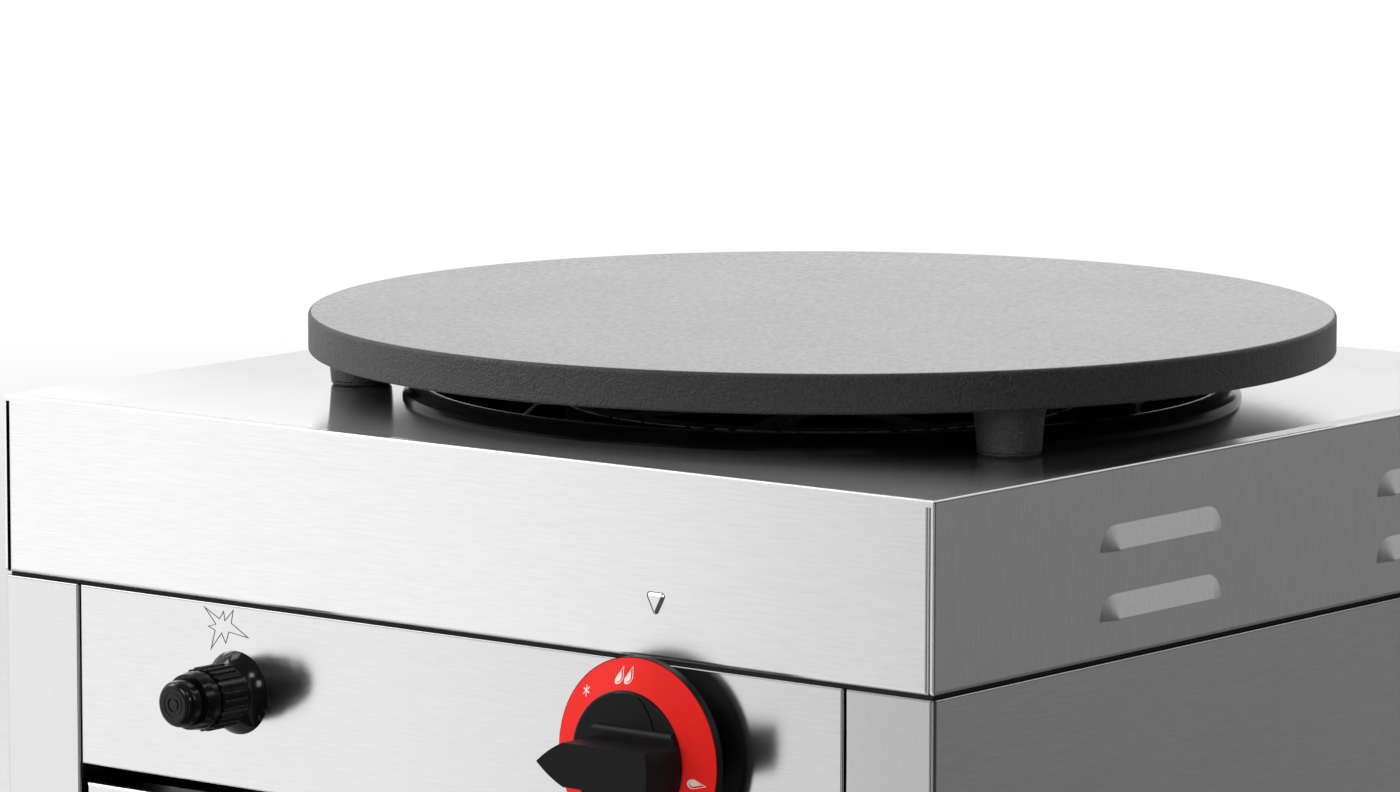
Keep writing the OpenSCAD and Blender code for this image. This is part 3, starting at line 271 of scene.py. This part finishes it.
def coated(name, base, rough, spec=0.5, coat=0.0, metal=0.0, speck=0.1, bump=0.03, scale=700.0, clear_rough=0.05):
    """Paint, enamel, plastic or plain metal: a colour that varies a little, fine unevenness, and faint scuffs."""
    m, n = material(name)
    co = n.object_co()
    fine = n.noise(co, scale, 2.0, 0.5)
    cloud = n.noise(co, 25.0, 3.0, 0.6)
    k = n.math("ADD", n.remap(fine, 0.3, 0.7, 1 - speck, 1 + speck), n.remap(cloud, 0.3, 0.7, -speck, speck))
    c = n.new("ShaderNodeCombineXYZ")
    for s in c.inputs:
        n.put(k, s)
    colour = n.vmath("MULTIPLY", base, c.outputs[0])
    r = n.math("ADD", n.remap(fine, 0.3, 0.7, rough - 0.02, rough + 0.03), n.remap(cloud, 0.3, 0.7, -0.03, 0.04))
    p = n.principled(Base_Color=colour, Roughness=r, Metallic=metal, Normal=n.bump(fine, bump, 0.0001))
    p.inputs["Specular IOR Level"].default_value = spec
    p.inputs["Coat Weight"].default_value = coat
    p.inputs["Coat Roughness"].default_value = clear_rough
    return m


def dress(m, *names):
    for name in names:
        o = NODES[name]
        if not o.data.materials:
            o.data.materials.append(m)
        for i in range(len(o.data.materials)):
            o.data.materials[i] = m


# ---------------------------------------------------------------- materials

head = NODES["burner_head"]
BURNER_TOP = max(v.co.z for v in head.data.vertices)
BURNER_R = max(math.hypot(v.co.x, v.co.y) for v in head.data.vertices)
FRONT_Y = min(v.co.y for v in NODES["side_panel_left"].data.vertices)
HALF_X = max(abs(v.co.x) for v in NODES["side_panel_left"].data.vertices)
RIM_Z = max(v.co.z for v in NODES["hood_shell"].data.vertices)
CABINET_TOP = max(v.co.z for v in NODES["side_panel_left"].data.vertices)
DECK_LINES = 4.0
under_hood = (CABINET_TOP - 0.0010, CABINET_TOP - 0.0001, 0.4)
hood_steel = brushed("hood_steel", "sheet", 0.72, 0.22, deck_rough=0.095, along=85.0, across=1500.0, streak=1.0, aniso=0.93, mark=True)
front_steel = brushed("front_steel", "x", 0.66, 0.168, along=100.0, across=1600.0, streak=1.0, aniso=0.55, shade=under_hood, painted_inner_shade=True)
stile_steel = brushed("stile_steel", "y", 0.62, 0.24, along=90.0, across=1500.0, streak=1.2, aniso=0.85, shade=under_hood, painted_inner_shade=True)
# painted shade: the same steel as stile_steel, tinted darker (0.54 against 0.62) for the right side panel
side_steel_painted_shade = brushed("side_steel_painted_shade", "y", 0.54, 0.24, along=90.0, across=1500.0, streak=1.2, aniso=0.85, shade=under_hood, painted_inner_shade=True)
pan_steel = brushed("pan_steel", "x", 0.66, 0.3)
plate_iron = cast_iron("plate_iron", (0.019, 0.019, 0.019), 0.46, grain=1.0, lump=0.6, grain_size=0.0008, lump_size=0.0022, ior=1.53, top_rough=0.145, speck=0.6, underside_painted_light=0.5, depth=0.0006)
burner_iron = cast_iron("burner_iron", (0.003, 0.003, 0.003), 0.8, grain=0.4, lump=0.8, ior=1.25, worn=True)
enamel = coated("black_enamel", (0.002, 0.002, 0.002), 0.15, spec=0.1, bump=0.08, scale=260.0)
gloss_black = coated("gloss_black", (0.003, 0.003, 0.003), 0.11, spec=0.24, scale=420.0)
knob_black = coated("knob_black", (0.0035, 0.0035, 0.0035), 0.42, spec=0.15, scale=1500.0, bump=0.22)
dial_red = coated("dial_red", (0.81, 0.015, 0.010), 0.55, spec=0.12, speck=0.03, scale=1200.0)
dial_white = coated("dial_white", (0.86, 0.66, 0.64), 0.45, speck=0.03, scale=1500.0)
print_black = coated("print_black", (0.09, 0.09, 0.09), 0.5, speck=0.1, scale=2000.0)
rubber = coated("rubber", (0.012, 0.012, 0.012), 0.62, bump=0.2, scale=900.0)
seal = coated("seal_rubber", (0.006, 0.006, 0.006), 0.7, bump=0.15, scale=1200.0)
lead = coated("lead_jacket", (0.015, 0.015, 0.016), 0.45, bump=0.05, scale=1000.0)
zinc = coated("zinc_steel", (0.56, 0.57, 0.58), 0.32, metal=1.0, speck=0.08, bump=0.15, scale=260.0)
plain = coated("plain_steel", (0.5, 0.5, 0.5), 0.38, metal=1.0, speck=0.08, bump=0.2, scale=600.0)
spring = coated("spring_steel", (0.42, 0.42, 0.43), 0.3, metal=1.0, speck=0.06, scale=900.0)
alu = coated("aluminium", (0.72, 0.72, 0.73), 0.36, metal=1.0, speck=0.06, bump=0.2, scale=500.0)
brass = coated("brass", (0.72, 0.52, 0.25), 0.3, metal=1.0, speck=0.08, bump=0.12, scale=500.0)
copper = coated("copper_brass", (0.62, 0.60, 0.57), 0.28, metal=1.0, speck=0.1, bump=0.12, scale=500.0)
ceramic = coated("ceramic", (0.82, 0.79, 0.74), 0.25, coat=0.3, speck=0.03, scale=600.0)

dress(hood_steel, "hood_shell")
dress(front_steel, "control_panel", "drawer_front", "drawer_handle")
dress(stile_steel, "side_panel_left")
dress(side_steel_painted_shade, "side_panel_right")
dress(pan_steel, "back_panel", "base_pan", "heat_shield", "drawer_tray")
dress(zinc, "drawer_runner_left", "drawer_runner_right", "burner_bracket", "knob_clip")
dress(plain, "hood_screws", "panel_screws", "back_panel_screws", "base_screws", "foot_screws", "runner_screws", "handle_screws", "tap_screws", "shutter_screw", "stud_nuts")
dress(rubber, "rubber_feet")
dress(seal, "hood_gasket")
dress(enamel, "burner_bowl")
dress(burner_iron, "burner_head", "venturi_tube")
dress(zinc, "air_shutter")
dress(brass, "injector", "tap_body", "tap_bonnet", "magnet_unit", "pipe_nuts", "gas_inlet", "inlet_locknut", "tap_plug", "valve_spindle")
dress(alu, "inlet_pipe", "burner_pipe")
dress(copper, "thermocouple")
dress(ceramic, "electrode_ceramic")
dress(spring, "electrode_pin", "spindle_spring", "igniter_spring")
dress(lead, "ignition_lead")
dress(gloss_black, "igniter_body", "igniter_collar", "igniter_button")
dress(print_black, "spark_mark")
dress(plate_iron, "baking_plate")
dress(knob_black, "control_knob")
dress(dial_red, "dial_ring")
dress(dial_white, "dial_marks")

# sharp edges of the moulded and cast pieces are broken a little, so that they catch the light
for name, width in (("control_knob", 0.00042), ("igniter_collar", 0.00012), ("igniter_button", 0.00015)):
    edge = NODES[name].modifiers.new("broken edges", "BEVEL")
    edge.width = width
    edge.segments = 2
    edge.limit_method = "ANGLE"
    edge.angle_limit = math.radians(28)
    edge.use_clamp_overlap = True
    edge.harden_normals = True

# ---------------------------------------------------------------- studio

# floor: pale near the object, and it fades into the white of the room
bm = bmesh.new()
rings, around = [0.0, 0.3, 0.6, 1.0, 1.6, 2.4], 64
rows = []
for r in rings[1:]:
    rows.append([bm.verts.new((r * math.cos(2 * math.pi * i / around), r * math.sin(2 * math.pi * i / around), 0)) for i in range(around)])
middle = bm.verts.new((0, 0, 0))
for i in range(around):
    j = (i + 1) % around
    bm.faces.new((middle, rows[0][i], rows[0][j]))
    for a, b in zip(rows, rows[1:]):
        bm.faces.new((a[i], b[i], b[j], a[j]))
mesh = bpy.data.meshes.new("studio_floor")
bm.to_mesh(mesh)
bm.free()
floor = bpy.data.objects.new("studio_floor", mesh)
bpy.context.scene.collection.objects.link(floor)
m, n = material("floor_pale")
spread = n.remap(n.vmath("LENGTH", n.object_co()), 0.7, 2.3, 0, 1, smooth=True)
paper = n.noise(n.object_co(), 60.0, 3.0, 0.6)
diffuse = n.new("ShaderNodeBsdfDiffuse")
n.put(n.mix(n.remap(paper, 0.3, 0.7), (0.80, 0.80, 0.80, 1), (0.83, 0.83, 0.83, 1)), diffuse.inputs[0])
clear = n.new("ShaderNodeBsdfTransparent")
both = n.new("ShaderNodeMixShader")
n.put(spread, both.inputs[0])
n.put(diffuse.outputs[0], both.inputs[1])
n.put(clear.outputs[0], both.inputs[2])
out = n.new("ShaderNodeOutputMaterial")
n.put(both.outputs[0], out.inputs[0])
mesh.materials.append(m)
floor.visible_glossy = False

# room: white to look at, with a bright side and a dark side for the light and the gloss
world = bpy.data.worlds.new("room")
bpy.context.scene.world = world
world.use_nodes = True
n = Nodes(world.node_tree)
seen = n.new("ShaderNodeTexCoord").outputs["Generated"]
sep = n.new("ShaderNodeSeparateXYZ")
n.put(n.vmath("NORMALIZE", seen), sep.inputs[0])
# brightness against the compass direction in degrees (0 along +X, -90 along -Y), at eye height
AROUND = [(-180, 1.08), (-150, 1.10), (-138, 1.27), (-134, 1.32), (-132, 1.31), (-130, 1.21), (-127, 0.78), (-123, 0.42), (-116, 0.30), (-100, 0.22), (-78, 0.13), (-70, 0.14),
          (-66, 0.80), (-58, 0.80), (-53, 0.14), (-20, 0.07), (10, 0.05), (28, 0.16), (51, 0.37), (75, 0.40), (100, 0.66), (116, 1.0), (135, 1.07), (160, 1.08), (180, 1.08)]
compass = n.math("MULTIPLY_ADD", n.math("ARCTAN2", sep.outputs[1], sep.outputs[0]), 1 / (2 * math.pi), 0.5)
ramp = n.new("ShaderNodeValToRGB")
n.put(compass, ramp.inputs[0])
el = ramp.color_ramp.elements
while len(el) < len(AROUND):
    el.new(0.5)
for e, (at, v) in zip(el, AROUND):
    e.position = (at + 180) / 360
    e.color = (v / 2, v / 2, v / 2, 1)
ramp.color_ramp.interpolation = "LINEAR"
# brighter upwards, so that a face tilted up a little is lighter than the wall it stands on
rise = n.remap(sep.outputs[2], -0.3, 0.4, 2 * (1 - 0.3 * 1.83), 2 * (1 + 0.4 * 1.83))
near_front = n.remap(n.vmath("DOT_PRODUCT", n.vmath("NORMALIZE", seen), (0.62, 0.78, 0.0)), -0.2, 0.6)
lift = n.new("ShaderNodeMix", data_type="FLOAT")
n.put(near_front, lift.inputs[0])
lift.inputs[2].default_value = 2.0
n.put(rise, lift.inputs[3])
around = n.vmath("MULTIPLY", ramp.outputs[0], n.spread(lift.outputs[0]))
behind = n.remap(n.vmath("DOT_PRODUCT", n.vmath("NORMALIZE", seen), (-0.62, 0.78, 0.0)), 0.15, 0.6, smooth=True)
height = n.math("MULTIPLY", n.remap(sep.outputs[2], 0.35, 0.95, 0, 1, smooth=True), n.math("SUBTRACT", 1.0, n.math("MULTIPLY", behind, 0.9)))
light = n.mix(height, around, (0.32, 0.32, 0.32, 1))
low = n.remap(sep.outputs[2], -0.9, -0.25, 0, 1, smooth=True)
light = n.mix(low, n.vmath("MULTIPLY", around, (0.5, 0.5, 0.5)), light)
lit = n.new("ShaderNodeBackground")
n.put(light, lit.inputs[0])
white = n.new("ShaderNodeBackground")
white.inputs[0].default_value = (1, 1, 1, 1)
white.inputs[1].default_value = 1.02
both = n.new("ShaderNodeMixShader")
n.put(n.new("ShaderNodeLightPath").outputs["Is Camera Ray"], both.inputs[0])
n.put(lit.outputs[0], both.inputs[1])
n.put(white.outputs[0], both.inputs[2])
out = n.new("ShaderNodeOutputWorld")
n.put(both.outputs[0], out.inputs[0])


def softbox(name, at, target, size, watts, colour=(1, 1, 1)):
    d = bpy.data.lights.new(name, "AREA")
    d.shape = "RECTANGLE"
    d.size, d.size_y = size
    d.energy = watts
    d.color = colour
    o = bpy.data.objects.new(name, d)
    bpy.context.scene.collection.objects.link(o)
    o.location = at
    o.rotation_euler = (Vector(target) - Vector(at)).to_track_quat("-Z", "Y").to_euler()
    return o


key = softbox("key", (-1.95, -1.13, 1.5), (0, 0, 0.15), (0.9, 0.9), 20)
fill = softbox("fill", (1.5, -1.45, 0.95), (0, 0, 0.2), (0.35, 0.45), 5)
front = softbox("front", (-0.38, -1.96, 1.0), (0.05, -0.2, 0.15), (0.7, 0.7), 8)
top = softbox("top", (0.83, -1.63, 1.63), (0.1, -0.2, 0.13), (0.35, 0.35), 4)
edge = softbox("edge", (-1.26, -0.49, 1.82), (0.1, -0.2, 0.13), (0.5, 0.5), 3)
back = softbox("back", (0.75, 1.9, 1.6), (0, 0, 0.2), (0.8, 0.5), 2.5)

# ---------------------------------------------------------------- camera

cam = bpy.data.cameras.new("camera")
cam.sensor_fit = "HORIZONTAL"
cam.sensor_width = 36.0
cam.lens = 7311.128 / 1400 * 36
cam.clip_start = 0.05
cam.clip_end = 60
cam.dof.use_dof = False
camera = bpy.data.objects.new("camera", cam)
bpy.context.scene.collection.objects.link(camera)
right, down, ahead = (0.77879, 0.62728, 0.00104), (0.08325, -0.10172, -0.99132), (-0.62173, 0.77212, -0.13144)
look = Matrix([[right[i], -down[i], -ahead[i]] for i in range(3)])
camera.matrix_world = Matrix.Translation((1.73703, -2.23288, 0.60595)) @ look.to_4x4()
bpy.context.scene.camera = camera

view = bpy.context.scene.view_settings
view.view_transform = "Standard"
view.look = "None"
view.exposure = 0
view.gamma = 1
